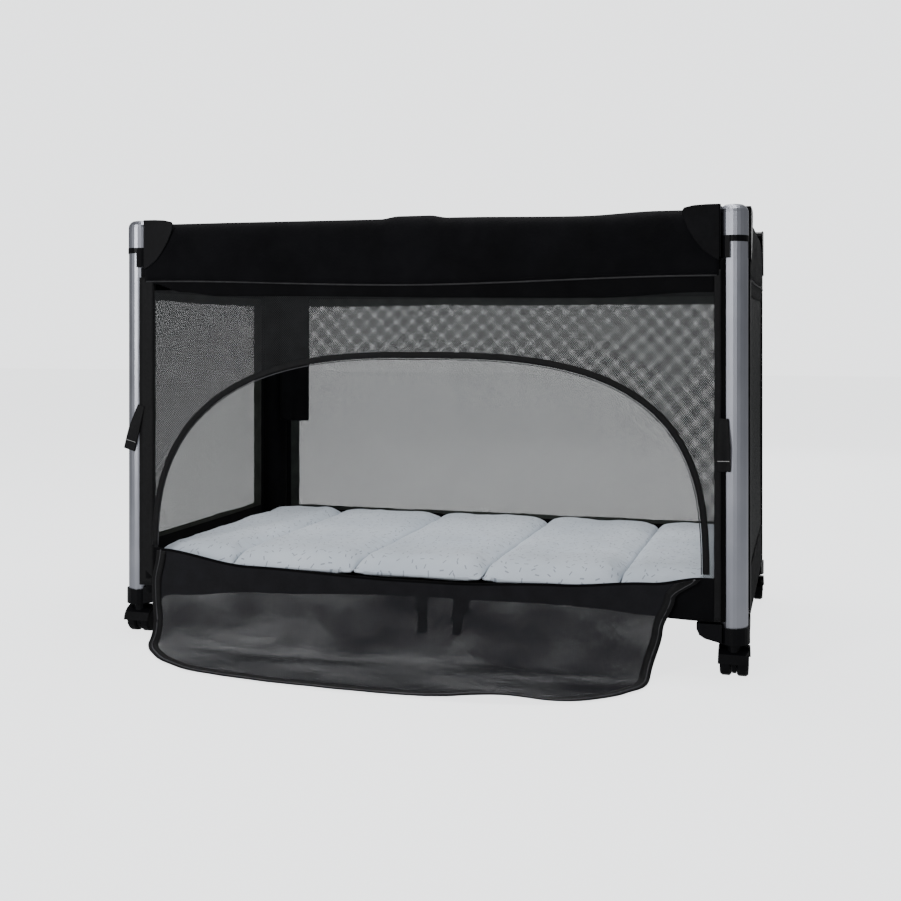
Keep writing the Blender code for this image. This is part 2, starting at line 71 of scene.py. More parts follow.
# Soft goods
PIPING = 0.716  # height of the piping under the top band
STRIP = 0.034  # black strip between the piping and the net
CLOTH = 0.0012  # how thick a plain sheet is
DOOR_HALF = 0.551  # half the doorway's width at the sill
DOOR_RISE = 0.395  # the doorway's height over the sill
DOOR_POWER = 2.6  # how square the arch is; 2 would be an ellipse
DOOR_POWER_RIGHT = 3.1
BINDING = 0.0125
FOLDED_X = 0.2694  # share of the length left between the posts when folded
FOLDED_Y = 0.3667  # share of the width left between the posts when folded


# Camera and studio


def camera():
    data = bpy.data.cameras.new("camera")
    data.lens = 44.7
    data.sensor_width = 36.0
    data.shift_x = -0.0733
    data.shift_y = -0.1314
    data.clip_end = 60.0
    made = bpy.data.objects.new("camera", data)
    made.location = (0.739, -2.348, 0.620)
    made.rotation_euler = (math.radians(90.0), 0.0, math.radians(14.75))
    bpy.context.scene.collection.objects.link(made)
    bpy.context.scene.camera = made


def area_light(name, place, aim, size, power, colour=(1.0, 1.0, 1.0)):
    data = bpy.data.lights.new(name, "AREA")
    data.shape = "RECTANGLE"
    data.size = size[0]
    data.size_y = size[1]
    data.energy = power
    data.color = colour
    made = bpy.data.objects.new(name, data)
    made.location = place
    made.rotation_euler = (Vector(aim) - Vector(place)).to_track_quat("-Z", "Y").to_euler()
    bpy.context.scene.collection.objects.link(made)


BACKDROP = (0.985, 1.0, 1.015)


def seen_or_lit(tree, seen, lit):
    """A strength for what the camera sees directly, and another for what lights the object."""
    path = tree.nodes.new("ShaderNodeLightPath")
    span = tree.nodes.new("ShaderNodeMapRange")
    span.inputs["To Min"].default_value = lit
    span.inputs["To Max"].default_value = seen
    tree.links.new(path.outputs["Is Camera Ray"], span.inputs["Value"])
    return span.outputs["Result"]


def studio():
    world = bpy.data.worlds.new("studio")
    world.use_nodes = True
    back = world.node_tree.nodes["Background"]
    back.inputs["Color"].default_value = (*BACKDROP, 1.0)
    world.node_tree.links.new(seen_or_lit(world.node_tree, 2.45, 0.24), back.inputs["Strength"])
    bpy.context.scene.world = world
    area_light("key", (-1.3, -3.2, 1.5), (0.2, 0.0, 0.4), (0.7, 2.6), 58.0)
    area_light("rim", (1.5, -3.4, 1.2), (0.6, -0.3, 0.5), (0.35, 2.2), 8.0)
    area_light("top", (0.1, 0.1, 3.2), (0.0, 0.0, 0.2), (2.4, 1.2), 82.0)
    area_light("back", (0.0, 3.4, 1.6), (0.0, 0.3, 0.4), (3.0, 1.8), 30.0)
    mesh = bpy.data.meshes.new("floor")
    bm = bmesh.new()
    bmesh.ops.create_grid(bm, x_segments=2, y_segments=2, size=14.0)
    bm.to_mesh(mesh)
    bm.free()
    floor = bpy.data.objects.new("floor", mesh)
    bpy.context.scene.collection.objects.link(floor)
    finish = bpy.data.materials.new("floor")
    finish.use_nodes = True
    shader = finish.node_tree.nodes["Principled BSDF"]
    shader.inputs["Base Color"].default_value = (0.42, 0.425, 0.43, 1.0)
    shader.inputs["Roughness"].default_value = 1.0
    shader.inputs["Specular IOR Level"].default_value = 0.0
    shader.inputs["Emission Color"].default_value = (*BACKDROP, 1.0)
    strength = seen_or_lit(finish.node_tree, 2.20, 0.14)
    finish.node_tree.links.new(strength, shader.inputs["Emission Strength"])
    mesh.materials.append(finish)


# Materials


class Nodes:
    """A small helper that adds and links shader nodes."""

    def __init__(self, name):
        self.material = bpy.data.materials.new(name)
        self.material.use_nodes = True
        self.tree = self.material.node_tree
        self.shader = self.tree.nodes["Principled BSDF"]
        self.coords = self.tree.nodes.new("ShaderNodeTexCoord").outputs["Object"]

    def link(self, source, target):
        self.tree.links.new(source, target)

    def fill(self, socket, value):
        if isinstance(value, (int, float)):
            socket.default_value = value
        else:
            self.link(value, socket)

    def math(self, operation, first, second=None):
        node = self.tree.nodes.new("ShaderNodeMath")
        node.operation = operation
        self.fill(node.inputs[0], first)
        if second is not None:
            self.fill(node.inputs[1], second)
        return node.outputs[0]

    def noise(self, scale, detail=4.0, stretch=(1.0, 1.0, 1.0)):
        mapping = self.tree.nodes.new("ShaderNodeMapping")
        mapping.inputs["Scale"].default_value = stretch
        self.link(self.coords, mapping.inputs["Vector"])
        node = self.tree.nodes.new("ShaderNodeTexNoise")
        node.inputs["Scale"].default_value = scale
        node.inputs["Detail"].default_value = detail
        self.link(mapping.outputs["Vector"], node.inputs["Vector"])
        return node.outputs["Fac"]

    def ramp(self, factor, low, high, start=0.3, end=0.7):
        node = self.tree.nodes.new("ShaderNodeValToRGB")
        node.color_ramp.elements[0].position = start
        node.color_ramp.elements[1].position = end
        node.color_ramp.elements[0].color = (*low, 1.0)
        node.color_ramp.elements[1].color = (*high, 1.0)
        self.link(factor, node.inputs["Fac"])
        return node.outputs["Color"]

    def span(self, factor, low, high):
        node = self.tree.nodes.new("ShaderNodeMapRange")
        node.inputs["To Min"].default_value = low
        node.inputs["To Max"].default_value = high
        self.link(factor, node.inputs["Value"])
        return node.outputs["Result"]

    def bump(self, height, distance, strength=1.0, under=None):
        node = self.tree.nodes.new("ShaderNodeBump")
        node.inputs["Distance"].default_value = distance
        node.inputs["Strength"].default_value = strength
        self.link(height, node.inputs["Height"])
        if under is not None:
            self.link(under, node.inputs["Normal"])
        return node.outputs["Normal"]

    def axes(self):
        node = self.tree.nodes.new("ShaderNodeSeparateXYZ")
        self.link(self.coords, node.inputs["Vector"])
        return node.outputs["X"], node.outputs["Y"], node.outputs["Z"]

    def stripes(self, value, pitch):
        """A soft wave from 0 to 1 along a value, in metres."""
        turned = self.math("SINE", self.math("MULTIPLY", value, 2 * math.pi / pitch))
        return self.math("ADD", self.math("MULTIPLY", turned, 0.5), 0.5)

    def set(self, name, value):
        self.shader.inputs[name].default_value = value

    def drive(self, name, socket):
        self.link(socket, self.shader.inputs[name])


def satin_aluminium():
    """Drawn and anodised tube: fine lines along its length and faint handling marks."""
    n = Nodes("satin_aluminium")
    n.set("Metallic", 1.0)
    n.set("Anisotropic", 0.35)
    n.drive("Base Color", n.ramp(n.noise(9.0, 3.0), (0.36, 0.37, 0.42), (0.45, 0.46, 0.51)))
    lines = n.noise(420.0, 2.0, (1.0, 1.0, 0.02))
    n.drive("Roughness", n.span(n.noise(60.0, 5.0, (1.0, 1.0, 0.25)), 0.30, 0.42))
    n.drive("Normal", n.bump(lines, 0.00005, 0.35))
    return n.material


def grey_steel():
    n = Nodes("grey_steel")
    n.set("Metallic", 1.0)
    n.drive("Base Color", n.ramp(n.noise(14.0, 5.0), (0.20, 0.21, 0.23), (0.33, 0.34, 0.36)))
    n.drive("Roughness", n.span(n.noise(90.0), 0.32, 0.5))
    n.drive("Normal", n.bump(n.noise(700.0, 2.0), 0.00006, 0.4))
    return n.material


def moulded_plastic(name, colour, rough, grain):
    """Moulded plastic with a fine spark grain and slightly polished high spots."""
    n = Nodes(name)
    pale = tuple(c * 1.9 + 0.0012 for c in colour)
    n.drive("Base Color", n.ramp(n.noise(22.0, 6.0), colour, pale, 0.35, 0.8))
    n.drive("Roughness", n.span(n.noise(130.0, 4.0), rough - 0.07, rough + 0.09))
    n.drive("Normal", n.bump(n.noise(1500.0, 2.0), 0.00012, grain))
    n.set("Specular IOR Level", 0.13)
    return n.material


def woven(name, colour, pitch, sheen):
    """Plain woven cloth: two crossing sets of threads, with a little fading."""
    n = Nodes(name)
    x, y, z = n.axes()
    threads = n.math("MULTIPLY", n.stripes(n.math("ADD", x, y), pitch), n.stripes(z, pitch))
    pale = tuple(c * 1.8 + 0.0012 for c in colour)
    n.drive("Base Color", n.ramp(n.noise(11.0, 6.0), colour, pale, 0.35, 0.75))
    n.drive("Roughness", n.span(n.noise(40.0), 0.78, 0.95))
    broad = n.bump(n.noise(26.0, 3.0), 0.0016, 0.35)
    n.drive("Normal", n.bump(threads, 0.00025, 0.5, broad))
    n.set("Sheen Weight", sheen)
    n.set("Sheen Roughness", 0.45)
    n.set("Specular IOR Level", 0.12)
    return n.material


def ribbed(name, colour, pitch, along="Z"):
    """Grosgrain tape: fine ribs across its length, which runs up the cot or along it."""
    n = Nodes(name)
    x, y, z = n.axes()
    ribs = n.stripes(z if along == "Z" else n.math("ADD", x, y), pitch)
    pale = tuple(c * 1.7 + 0.0015 for c in colour)
    n.drive("Base Color", n.ramp(n.noise(60.0, 5.0), colour, pale, 0.3, 0.8))
    n.drive("Roughness", n.span(n.noise(200.0), 0.55, 0.75))
    n.drive("Normal", n.bump(ribs, 0.0002, 0.6, n.bump(n.noise(90.0), 0.0006, 0.3)))
    n.set("Sheen Weight", 0.04)
    n.set("Specular IOR Level", 0.25)
    return n.material


def net(name, along_y, share, colour, pitch, gathered=0.0, folds_and_shade=0.0):
    """Knitted net: two crossing sets of threads, closer towards +X and in noisy patches, partly where it is gathered
    and lies in folds and partly as painted shade of the shadow behind it.
    """
    n = Nodes(name)
    x, y, z = n.axes()
    u = y if along_y else x
    v = z if along_y else n.math("ADD", z, y)
    limit = share / 2
    # Threads set closer towards +X (gathered) and in noise patches darken the net: partly gathered folds, partly
    # painted shade.
    if gathered or folds_and_shade:
        fold_and_shade_patches = n.math("MULTIPLY", n.math("SUBTRACT", n.noise(9.0, 5.0, (0.5, 2.2, 1.0)), 0.5), folds_and_shade)
        limit = n.math("ADD", n.math("ADD", n.math("MULTIPLY", x, gathered), fold_and_shade_patches), limit)
    covers = []
    for operation in ("ADD", "SUBTRACT"):
        slant = n.math(operation, u, n.math("MULTIPLY", v, 0.86))
        cell = n.math("FRACT", n.math("ADD", n.math("DIVIDE", slant, pitch), 4000.0))
        away = n.math("ABSOLUTE", n.math("SUBTRACT", cell, 0.5))
        covers.append(n.math("LESS_THAN", away, limit))
    n.drive("Alpha", n.math("MAXIMUM", covers[0], covers[1]))
    n.drive("Base Color", n.ramp(n.noise(30.0, 4.0), colour, tuple(c * 1.6 for c in colour)))
    n.drive("Roughness", n.span(n.noise(300.0), 0.6, 0.8))
    n.set("Specular IOR Level", 0.2)
    return n.material


DASHES_PER_METRE = 52.0
DASH_HALF_LENGTH = 0.0042
DASH_HALF_WIDTH = 0.0011


def quilted():
    """Pale brushed cotton printed with small scattered dashes, each turned its own way."""
    n = Nodes("quilted_cover")
    x, y, z = n.axes()
    threads = n.math("MULTIPLY", n.stripes(x, 0.0010), n.stripes(y, 0.0010))
    cells = n.tree.nodes.new("ShaderNodeTexVoronoi")
    cells.voronoi_dimensions = "2D"
    cells.feature = "F1"
    cells.inputs["Scale"].default_value = DASHES_PER_METRE
    n.link(n.coords, cells.inputs["Vector"])
    away = n.tree.nodes.new("ShaderNodeVectorMath")
    away.operation = "SUBTRACT"
    n.link(n.coords, away.inputs[0])
    n.link(cells.outputs["Position"], away.inputs[1])
    turned = n.tree.nodes.new("ShaderNodeVectorRotate")
    turned.rotation_type = "Z_AXIS"
    n.link(away.outputs["Vector"], turned.inputs["Vector"])
    n.link(n.math("MULTIPLY", cells.outputs["Color"], math.pi * 2), turned.inputs["Angle"])
    parts = n.tree.nodes.new("ShaderNodeSeparateXYZ")
    n.link(turned.outputs["Vector"], parts.inputs["Vector"])
    long_way = n.math("LESS_THAN", n.math("ABSOLUTE", parts.outputs["X"]), DASH_HALF_LENGTH)
    short_way = n.math("LESS_THAN", n.math("ABSOLUTE", parts.outputs["Y"]), DASH_HALF_WIDTH)
    marks = n.math("MULTIPLY", long_way, short_way)
    base = n.ramp(n.noise(5.0, 4.0), (0.52, 0.585, 0.66), (0.64, 0.70, 0.77))
    mix = n.tree.nodes.new("ShaderNodeMix")
    mix.data_type = "RGBA"
    n.link(n.math("MULTIPLY", marks, 0.80), mix.inputs["Factor"])
    n.link(base, mix.inputs["A"])
    mix.inputs["B"].default_value = (0.24, 0.28, 0.35, 1.0)
    n.drive("Base Color", mix.outputs["Result"])
    n.drive("Roughness", n.span(n.noise(80.0), 0.82, 0.95))
    quilting = n.bump(n.noise(44.0, 4.0, (1.0, 0.6, 1.0)), 0.0045, 0.65)
    n.drive("Normal", n.bump(threads, 0.0002, 0.35, quilting))
    n.set("Sheen Weight", 0.3)
    return n.material


# Building cloth


def between(x, points):
    """A smooth line through a few (x, value) points."""
    if x <= points[0][0]:
        return points[0][1]
    for (x0, a), (x1, b) in zip(points, points[1:]):
        if x <= x1:
            t = (x - x0) / (x1 - x0)
            return a + (b - a) * t * t * (3 - 2 * t)
    return points[-1][1]


def ripple(u, z, seed, across=9.0, up=16.0):
    """Slow creases in cloth, about -1 to 1."""
    broad = noise.noise(Vector((u * across, z * up, seed)))
    fine = noise.noise(Vector((u * across * 3.1, z * up * 2.3, seed + 40.0)))
    return broad + 0.4 * fine


def finish_mesh(name, bm, material, thick=0.0):
    bmesh.ops.recalc_face_normals(bm, faces=bm.faces)
    mesh = bpy.data.meshes.new(name)
    bm.to_mesh(mesh)
    bm.free()
    mesh.materials.append(material)
    mesh.polygons.foreach_set("use_smooth", [True] * len(mesh.polygons))
    made = bpy.data.objects.new(name, mesh)
    bpy.context.scene.collection.objects.link(made)
    if thick:
        solid = made.modifiers.new("thickness", "SOLIDIFY")
        solid.thickness = thick
        solid.offset = 0.0
    return made


def surface(name, columns, rows, at, material, thick=CLOTH):
    """A sheet from at(u, v), with u and v from 0 to 1."""
    bm = bmesh.new()
    grid = [[bm.verts.new(at(i / columns, j / rows)) for j in range(rows + 1)] for i in range(columns + 1)]
    for i in range(columns):
        for j in range(rows):
            bm.faces.new((grid[i][j], grid[i + 1][j], grid[i + 1][j + 1], grid[i][j + 1]))
    bmesh.ops.remove_doubles(bm, verts=bm.verts, dist=0.00002)
    return finish_mesh(name, bm, material, thick)


def tube(name, path, radius, material, sides=8):
    """A round cord of piping or zip along a list of points."""
    bm = bmesh.new()
    rings = []
    for i, point in enumerate(path):
        ahead = (path[min(i + 1, len(path) - 1)] - path[max(i - 1, 0)]).normalized()
        guide = Vector((0.013, 0.021, 1.0)) if abs(ahead.z) < 0.9 else Vector((0.0, 1.0, 0.0))
        side = ahead.cross(guide).normalized()
        up = side.cross(ahead)
        ring = []
        for k in range(sides):
            turn = 2 * math.pi * k / sides
            ring.append(bm.verts.new(point + (side * math.cos(turn) + up * math.sin(turn)) * radius))
        rings.append(ring)
    for first, second in zip(rings, rings[1:]):
        for k in range(sides):
            bm.faces.new((first[k], first[(k + 1) % sides], second[(k + 1) % sides], second[k]))
    bm.faces.new(rings[0])
    bm.faces.new(rings[-1])
    return finish_mesh(name, bm, material)


def ribbon(name, outline, width, lift, material, thick=0.0016):
    """A flat tape along flat points (a, b); lift(a, b) puts them in the frame."""
    def edge(i):
        before = outline[max(i - 1, 0)]
        after = outline[min(i + 1, len(outline) - 1)]
        da = after[0] - before[0]
        db = after[1] - before[1]
        size = math.hypot(da, db) or 1.0
        return -db / size, da / size

    last = len(outline) - 1

    def at(u, v):
        i = round(u * last)
        na, nb = edge(i)
        return lift(outline[i][0] + na * width * v, outline[i][1] + nb * width * v)

    return surface(name, last, 3, at, material, thick)


class Side:
    """One side of the cot: u runs along it, out is the distance from the cot's middle."""

    def __init__(self, name, half, out, body, axis, anchor, keep):
        self.name = name
        self.half = half
        self.out = out
        self.body = body
        self.fold = (axis, anchor, keep)

    def place(self, u, out, z):
        return {
            "front": Vector((u, -out, z)),
            "rear": Vector((-u, out, z)),
            "left": Vector((-out, -u, z)),
            "right": Vector((out, u, z)),
        }[self.name]

    def hold(self, piece, slot):
        axis, anchor, keep = self.fold
        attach(piece, self.body)
        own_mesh(piece)
        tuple(axis)
        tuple(anchor)
        return piece


ALONG = ((1.0, 0.0, 0.0), (LEFT_X, 0.0, 0.0), FOLDED_X)
ACROSS = ((0.0, 1.0, 0.0), (0.0, REAR_Y, 0.0), FOLDED_Y)
SIDES = {
    "front": Side("front", WALL_END, -WALL_LOW[1], "front_left_post", *ALONG),
    "rear": Side("rear", WALL_END, -WALL_LOW[1], "rear_left_post", *ALONG),
    "left": Side("left", SIDE_END, -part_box("wall_left")[0][0], "rear_left_post", *ACROSS),
    "right": Side("right", SIDE_END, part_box("wall_right")[1][0], "rear_right_post", *ACROSS),
}
CORNERS = (("rear_left", -1, 1), ("rear_right", 1, 1), ("front_left", -1, -1), ("front_right", 1, -1))
SLEEVE = 0.051  # how thick the sleeve over the rails is
SLEEVE_TOP = 0.7522  # the post sleeves end just under the corner housings
UPRIGHT_TOP = 0.728  # 4 mm under the top of the bindings beside the posts
NET_TOP = 0.705
NET_INSET = 0.006  # from the end of a side to the net's edge
NET_FOOT = {"rear": 0.162, "left": 0.176, "right": 0.176}
BAND_TOP = {"rear": 0.172, "left": 0.186, "right": 0.186}  # top of the lower band
# How far the corner housing's wing reaches from the post axis, at each height
WING = ((0.750, 0.0262), (0.774, 0.0400), (0.792, 0.0540), (0.814, 0.0670), (0.836, 0.0765), (0.850, 0.0765))


def wing_reach(z):
    """How far the wing reaches from the post axis at a height."""
    for (low, a), (high, b) in zip(WING, WING[1:]):
        if z <= high:
            return a + (b - a) * max(0.0, (z - low) / (high - low))
    return WING[-1][1]


# The front wall's drawn lines, as (x, height)
FRONT_PIPING = ((-0.562, 0.724), (0.006, 0.711), (0.546, 0.722))
FRONT_STRIP = ((-0.557, 0.718), (-0.496, 0.701), (-0.405, 0.692), (0.365, 0.683), (0.551, 0.692))
FRONT_TOP = (
    (-0.52, 0.8415), (-0.08, 0.8400), (-0.04, 0.8450), (0.03, 0.8450), (0.07, 0.8400), (0.36, 0.836), (0.51, 0.8415),
)
FRONT_SILL = (
    (-0.551, 0.180), (-0.343, 0.154), (-0.025, 0.145), (0.076, 0.145), (0.29, 0.154), (0.457, 0.166), (0.551, 0.180),
)
FRONT_HEM = ((-0.495, 0.087), (-0.343, 0.101), (-0.025, 0.113), (0.29, 0.115), (0.551, 0.102))


def piping_height(side, u):
    if side.name == "front":
        return between(u, FRONT_PIPING)
    return PIPING + 0.004 * ripple(u, 0.0, 3.0, 3.0)


def band(side, material):
    """The padded sleeve over the top rails, cut back round the corner housings."""
    def top(u):
        if side.name == "front":
            return between(u, FRONT_TOP)
        return 0.8395 + 0.0045 * math.exp(-((u / 0.045) ** 2))

    def at(u, v):
        centred = 2 * u - 1
        girth = 2 * v - 1
        arc = abs(girth)
        rise = min(1.0, (1 - arc) / 0.80)
        roof = top(centred * side.half)
        foot = piping_height(side, centred * side.half)
        z = foot + (roof - foot) * math.sin(rise * math.pi / 2) ** 0.75
        reach = side.half + WING[0][1] - wing_reach(z) + 0.0015
        along = centred * reach
        shoulder = max(0.0, 1 - ((z - foot) / (roof - foot)) ** 9)
        half_thick = SLEEVE / 2 * shoulder ** 0.5
        crease = ripple(along, z, 7.0 + side.half) * 0.0013 * min(1.0, (1 - abs(centred)) * 14)
        middle = side.out - SLEEVE / 2
        sign = 1 if girth > 0 else -1
        out = middle + sign * (half_thick + 0.0008) + (crease if sign > 0 else -crease)
        return side.place(along, out, z)

    made = surface("band_" + side.name, 120 if side.half > 0.4 else 60, 84, at, material, 0.0012)
    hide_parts("wall_" + side.name)
    side.hold(made, "mesh_and_band")


def piping(side, material):
    path = []
    for i in range(81):
        u = (2 * i / 80 - 1) * (side.half - 0.002)
        path.append(side.place(u, side.out + 0.0010, piping_height(side, u) - 0.0006))
    side.hold(tube("piping_" + side.name, path, 0.0016, material), "mesh_and_band")


def strip(side, material):
    """The black strip between the piping and the net."""
    def at(u, v):
        along = (2 * u - 1) * (side.half - 0.001)
        high = piping_height(side, along) + 0.004
        low = between(along, FRONT_STRIP) if side.name == "front" else high - STRIP
        z = high + (low - high) * v
        return side.place(along, side.out - 0.0003 + 0.0006 * ripple(along, z, 11.0), z)

    made = side.hold(surface("strip_" + side.name, 90, 5, at, material, 0.0009), "mesh_and_band")


def arch(direction):
    """The doorway's edge from its sill's middle, in a direction: squarer at its right shoulder."""
    power = DOOR_POWER if math.cos(direction) < 0 else DOOR_POWER_RIGHT
    wide = abs(math.cos(direction)) / DOOR_HALF
    high = abs(math.sin(direction)) / (DOOR_RISE + 0.010)
    reach = (wide ** power + high ** power) ** (-1 / power)
    return reach * math.cos(direction), SILL + reach * math.sin(direction)


def doorway_area(steps=200):
    """The area inside the arch, as a fan of thin sectors."""
    sectors = ((math.pi * (i + 0.5) / steps) for i in range(steps))
    return sum(0.5 * (arch(t)[0] ** 2 + (arch(t)[1] - SILL) ** 2) for t in sectors) * math.pi / steps


def front_net(side, material):
    """Net from the doorway's edge out to the bindings and the strip."""
    corner = math.atan2(0.70 - SILL, side.half - NET_INSET)
    turns = [corner * i / 40 for i in range(40)]
    turns += [corner + (math.pi - 2 * corner) * i / 80 for i in range(80)]
    turns += [math.pi - corner + corner * i / 40 for i in range(41)]

    def at(u, v):
        turn = turns[round(u * (len(turns) - 1))]
        x, z = arch(turn)
        cosine = max(abs(math.cos(turn)), 1e-6)
        sine = max(math.sin(turn), 1e-6)
        reach = min((side.half - NET_INSET) / cosine, (NET_TOP - SILL) / sine)
        far_x = reach * math.cos(turn)
        far_z = SILL + reach * math.sin(turn)
        a = x + (far_x - x) * v
        b = z + (far_z - z) * v
        return side.place(a, side.out - 0.0012 + 0.0003 * ripple(a, b, 19.0, 5.0, 6.0), b)

    made = surface("net_front", len(turns) - 1, 10, at, material, 0.0)
    side.hold(made, "mesh_and_band")
    flat = (2 * side.half, NET_TOP - SILL)
    area = flat[0] * flat[1] - doorway_area()


def plain_net(side, material):
    low, high = NET_FOOT[side.name], NET_TOP

    def at(u, v):
        along = (2 * u - 1) * (side.half - NET_INSET)
        z = low + (high - low) * v
        slack = 0.004 * math.sin(math.pi * u) * math.sin(math.pi * v)
        return side.place(along, side.out - 0.0012 - slack + 0.0003 * ripple(along, z, 23.0, 5.0, 6.0), z)

    made = side.hold(surface("net_" + side.name, 60, 30, at, material, 0.0), "mesh_and_band")


def lower_band(side, material):
    """Cloth from the net's lower edge down past the floor cloth."""
    def edges(along):
        if side.name == "front":
            return between(along, FRONT_SILL), between(along, FRONT_HEM)
        return BAND_TOP[side.name] + 0.002 * ripple(along, 0.0, 5.0), BASE + 0.001

    def at(u, v):
        along = (2 * u - 1) * (side.half - 0.0006)
        high, low = edges(along)
        z = high + (low - high) * v
        sag = 0.0016 * ripple(along, z, 29.0, 8.0, 20.0)
        return side.place(along, side.out - 0.0002 + sag * math.sin(math.pi * v), z)

    made = side.hold(surface("lower_band_" + side.name, 110, 14, at, material, 0.0014), "mesh_and_band")
    for i in range(100):
        high, low = edges((i / 50 - 1) * side.half)


def upright_bindings(side, material, widths):
    """The tapes up a wall beside its two posts; widths gives where each starts and stops."""
    for end, (start, stop) in zip(("a", "b"), widths):
        def at(u, v, start=start, stop=stop):
            z = BASE + 0.004 + (UPRIGHT_TOP - BASE) * v
            along = start + (stop - start) * u + 0.0007 * ripple(0.0, z, 31.0 + start)
            return side.place(along, side.out + 0.0006, z)

        made = side.hold(surface(f"binding_{side.name}_{end}", 4, 70, at, material, 0.0013), "webbing")


def post_sleeves(material):
    """The cloth that turns the corner round the inside of each post, from one side to the other."""
    radius = POST_RADIUS + 0.0022
    steps = 26
    rise = SLEEVE_TOP - BASE - 0.004
    for corner, sign_x, sign_y in CORNERS:
        plan = [Vector((WALL_END - 0.004, FACE - FRONT_Y - 0.0016))]
        for i in range(steps + 1):
            turn = math.radians(122 + 206 * i / steps)
            plan.append(Vector((RIGHT_X + math.cos(turn) * radius, REAR_Y + math.sin(turn) * radius)))
        plan.append(Vector((SIDES["right"].out - 0.0016, SIDE_END - 0.004)))

        def at(u, v, plan=plan, sign_x=sign_x, sign_y=sign_y):
            point = plan[round(u * (len(plan) - 1))]
            z = BASE + 0.004 + rise * v
            return Vector((sign_x * point.x, sign_y * point.y, z))

        made = surface("post_sleeve_" + corner, len(plan) - 1, 60, at, material, 0.0012)
        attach(made, corner + "_post")


def wing_covers(material):
    """The rounded cheek of each corner housing over the end of the band."""
    outline = [(0.024, 0.748), (0.036, 0.754), (0.054, 0.768), (0.068, 0.786), (0.080, 0.806), (0.089, 0.828)]
    outline += [(0.0905, 0.838), (0.087, 0.844), (0.070, 0.8478), (0.048, 0.8490), (0.024, 0.8492)]
    middle = (0.050, 0.815)
    for corner, sign_x, sign_y in CORNERS:
        for long_side in (True, False):
            bm = bmesh.new()
            rings = []
            for inset, out in ((0.0, 0.0270), (0.0, 0.0284), (0.0016, 0.0292)):
                ring = []
                for a, z in outline:
                    shrink = 1 - inset / math.dist((a, z), middle)
                    along = middle[0] + (a - middle[0]) * shrink
                    high = middle[1] + (z - middle[1]) * shrink
                    if long_side:
                        place = Vector((RIGHT_X - along, REAR_Y + out, high))
                    else:
                        place = Vector((RIGHT_X + out, REAR_Y - along, high))
                    ring.append(bm.verts.new((sign_x * place.x, sign_y * place.y, place.z)))
                rings.append(ring)
            count = len(outline)
            for first, second in zip(rings, rings[1:]):
                for k in range(count):
                    bm.faces.new((first[k], first[(k + 1) % count], second[(k + 1) % count], second[k]))
            bm.faces.new(rings[0])
            bm.faces.new(rings[-1])
            name = "wing_cover_" + corner + ("_long" if long_side else "_short")
            cover = finish_mesh(name, bm, material)
            cover.data.polygons.foreach_set("use_smooth", [False] * len(cover.data.polygons))
            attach(cover, corner + "_post")


def doorway_edges(side, tape, zip_material):
    """The tape round the doorway with its zip."""
    steps = 150
    outline = [arch(math.pi * (0.012 + 0.976 * i / steps)) for i in range(steps + 1)]

    def lift(a, b):
        return side.place(a, side.out + 0.0006, b)

    made = side.hold(ribbon("doorway_binding", outline, -BINDING, lift, tape), "webbing")
    length = sum(math.dist(p, q) for p, q in zip(outline, outline[1:]))
    path = [side.place(x * 0.9965, side.out + 0.0018, SILL + (z - SILL) * 0.995) for x, z in outline]
    side.hold(tube("doorway_zip", path, 0.0011, zip_material, 6), "webbing")


# The door flap, hanging from the sill and lying on the floor

FLAP_LENGTH = 0.346
FLAP_BEND = 0.045  # radius where it turns from hanging to lying
# How far the flap reaches to each side, against the share of its length
FLAP_RIGHT = ((0.0, 0.547), (0.075, 0.503), (0.24, 0.482), (0.42, 0.472), (0.71, 0.497), (0.93, 0.527))
FLAP_LEFT = ((0.0, 0.549), (0.20, 0.560), (0.60, 0.560), (1.0, 0.562))
HEM = 0.020


def flap_point(x, distance):
    """A point on the flap: x along the cot, and the distance down from the zip."""
    sill = between(x, FRONT_SILL) - 0.004
    hang = sill - FLAP_BEND - 0.004
    face = -WALL_LOW[1] + 0.0032
    quarter = FLAP_BEND * math.pi / 2
    crease = ripple(x, distance, 61.0, 6.0, 9.0)
    if distance < hang:
        drop = distance / hang
        return Vector((x, -face - 0.0015 - 0.005 * drop * (1 + crease) * drop, sill - distance))
    start = -face - 0.0065 - 0.005 * crease
    if distance < hang + quarter:
        turn = (distance - hang) / FLAP_BEND
        return Vector((x, start - FLAP_BEND * (1 - math.cos(turn)), 0.004 + FLAP_BEND * (1 - math.sin(turn))))
    along = distance - hang - quarter
    settle = min(1.0, along / 0.05)
    hump = 0.010 * math.exp(-(((x - 0.22) / 0.09) ** 2) - (((distance - 0.335) / 0.016) ** 2))
    rise = 0.0045 * max(0.0, crease) * settle + hump
    return Vector((x, start - FLAP_BEND - along, 0.004 + rise))


def flap_share(s):
    return max(0.0, 1 - s ** 3.4) ** (1 / 3.4)


def flap_reach(s, sign):
    return between(s, FLAP_RIGHT if sign > 0 else FLAP_LEFT) * flap_share(s)


